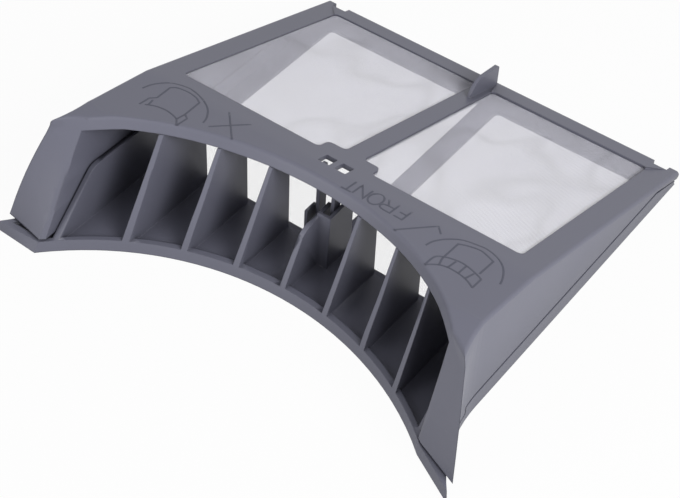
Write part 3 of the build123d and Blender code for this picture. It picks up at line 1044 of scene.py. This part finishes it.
class LINTFILTER_OT_mouldings(bpy.types.Operator):
    """Gives the upper and lower mouldings their smooth faces and grey plastic"""

    bl_idname = "lint_filter.mouldings"
    bl_label = "Mouldings"

    def execute(self, context):
        settings = context.scene.lint_filter_moulding
        finish = moulded_plastic("Grey plastic", settings.colour, settings.roughness)
        for half in ("upper", "lower"):
            mesh = smooth_copy(half + "_frame", settings.smooth_angle)
            mesh.materials.append(finish)
            new_piece(half + "_moulding", mesh, half + "_half", "grey_plastic", half + "_frame")
        return {"FINISHED"}


class LINTFILTER_OT_gauze(bpy.types.Operator):
    """Weaves the four gauzes into their seats"""

    bl_idname = "lint_filter.gauze"
    bl_label = "Gauze"

    def execute(self, context):
        settings = context.scene.lint_filter_gauze
        upper = gauze_thread("Upper gauze thread", settings.colour, 1.0)
        lower = gauze_thread("Lower gauze thread", settings.colour, settings.lower_cover)
        tree = weave_tree()
        for node_name, under, body, sloped, side, seed in GAUZE_PIECES:
            finish = upper if sloped else lower
            mesh, flat, area = woven_gauze(tree, node_name, sloped, side, seed, settings, finish)
            name = node_name.replace("mesh", "gauze")
            piece = new_piece(name, mesh, body, "gauze", node_name)
        return {"FINISHED"}


class LINTFILTER_OT_marks(bpy.types.Operator):
    """Draws the moulded marks on the panel's front"""

    bl_idname = "lint_filter.marks"
    bl_label = "Marks"

    def execute(self, context):
        settings = context.scene.lint_filter_marks
        # The grooves get the same plastic in a darker colour that paints the shade inside them
        finish = moulded_plastic("Groove shade plastic", settings.colour, GROOVE_ROUGHNESS)
        work = bmesh.new()
        for stroke in letter_strokes() + pictogram_strokes():
            sweep_groove(work, short_steps(stroke), settings.width / MM)
        mesh = bpy.data.meshes.new("marks")
        work.to_mesh(mesh)
        work.free()
        mesh.materials.append(finish)
        new_piece("panel_marks", mesh, "upper_half", "grey_plastic")
        return {"FINISHED"}


class LINTFILTER_OT_studio(bpy.types.Operator):
    """Sets up the pale floor, the light and the camera"""

    bl_idname = "lint_filter.studio"
    bl_label = "Studio"

    def execute(self, context):
        scene = context.scene
        settings = scene.lint_filter_studio
        scene.view_settings.view_transform = "Standard"
        add_floor(settings)
        add_sky(scene, settings)
        add_lamp("Key lamp", KEY_PLACE, KEY_SIZE, settings.key)
        add_lamp("Front lamp", FRONT_PLACE, FRONT_SIZE, settings.front)
        add_camera(scene)
        return {"FINISHED"}


class LINTFILTER_PT_panel(bpy.types.Panel):
    """Sizes and colours of the lint filter, with a button for each group of pieces"""

    bl_idname = "LINTFILTER_PT_panel"
    bl_label = "Lint Filter"
    bl_space_type = "VIEW_3D"
    bl_region_type = "UI"
    bl_category = "Lint Filter"

    def draw(self, context):
        for name, operator in PANEL_ROWS.items():
            box = self.layout.box()
            settings = getattr(context.scene, name)
            for key in settings.__annotations__:
                box.prop(settings, key)
            box.operator(operator)


PANEL_ROWS = {
    "lint_filter_moulding": "lint_filter.mouldings",
    "lint_filter_gauze": "lint_filter.gauze",
    "lint_filter_marks": "lint_filter.marks",
    "lint_filter_studio": "lint_filter.studio",
}
SETTINGS = {
    "lint_filter_moulding": LintFilterMoulding,
    "lint_filter_gauze": LintFilterGauze,
    "lint_filter_marks": LintFilterMarks,
    "lint_filter_studio": LintFilterStudio,
}
CLASSES = (
    *SETTINGS.values(),
    LINTFILTER_OT_mouldings,
    LINTFILTER_OT_gauze,
    LINTFILTER_OT_marks,
    LINTFILTER_OT_studio,
    LINTFILTER_PT_panel,
)


def register():
    """Registers the classes and their settings."""
    for entry in CLASSES:
        bpy.utils.register_class(entry)
    for name, group in SETTINGS.items():
        setattr(bpy.types.Scene, name, bpy.props.PointerProperty(type=group))


def unregister():
    """Takes the settings and classes away again."""
    for name in SETTINGS:
        delattr(bpy.types.Scene, name)
    for entry in reversed(CLASSES):
        bpy.utils.unregister_class(entry)


def main():
    """Builds the whole scene."""
    register()
    bpy.ops.lint_filter.mouldings()
    bpy.ops.lint_filter.gauze()
    bpy.ops.lint_filter.marks()
    bpy.ops.lint_filter.studio()


if __name__ == "__main__":
    main()
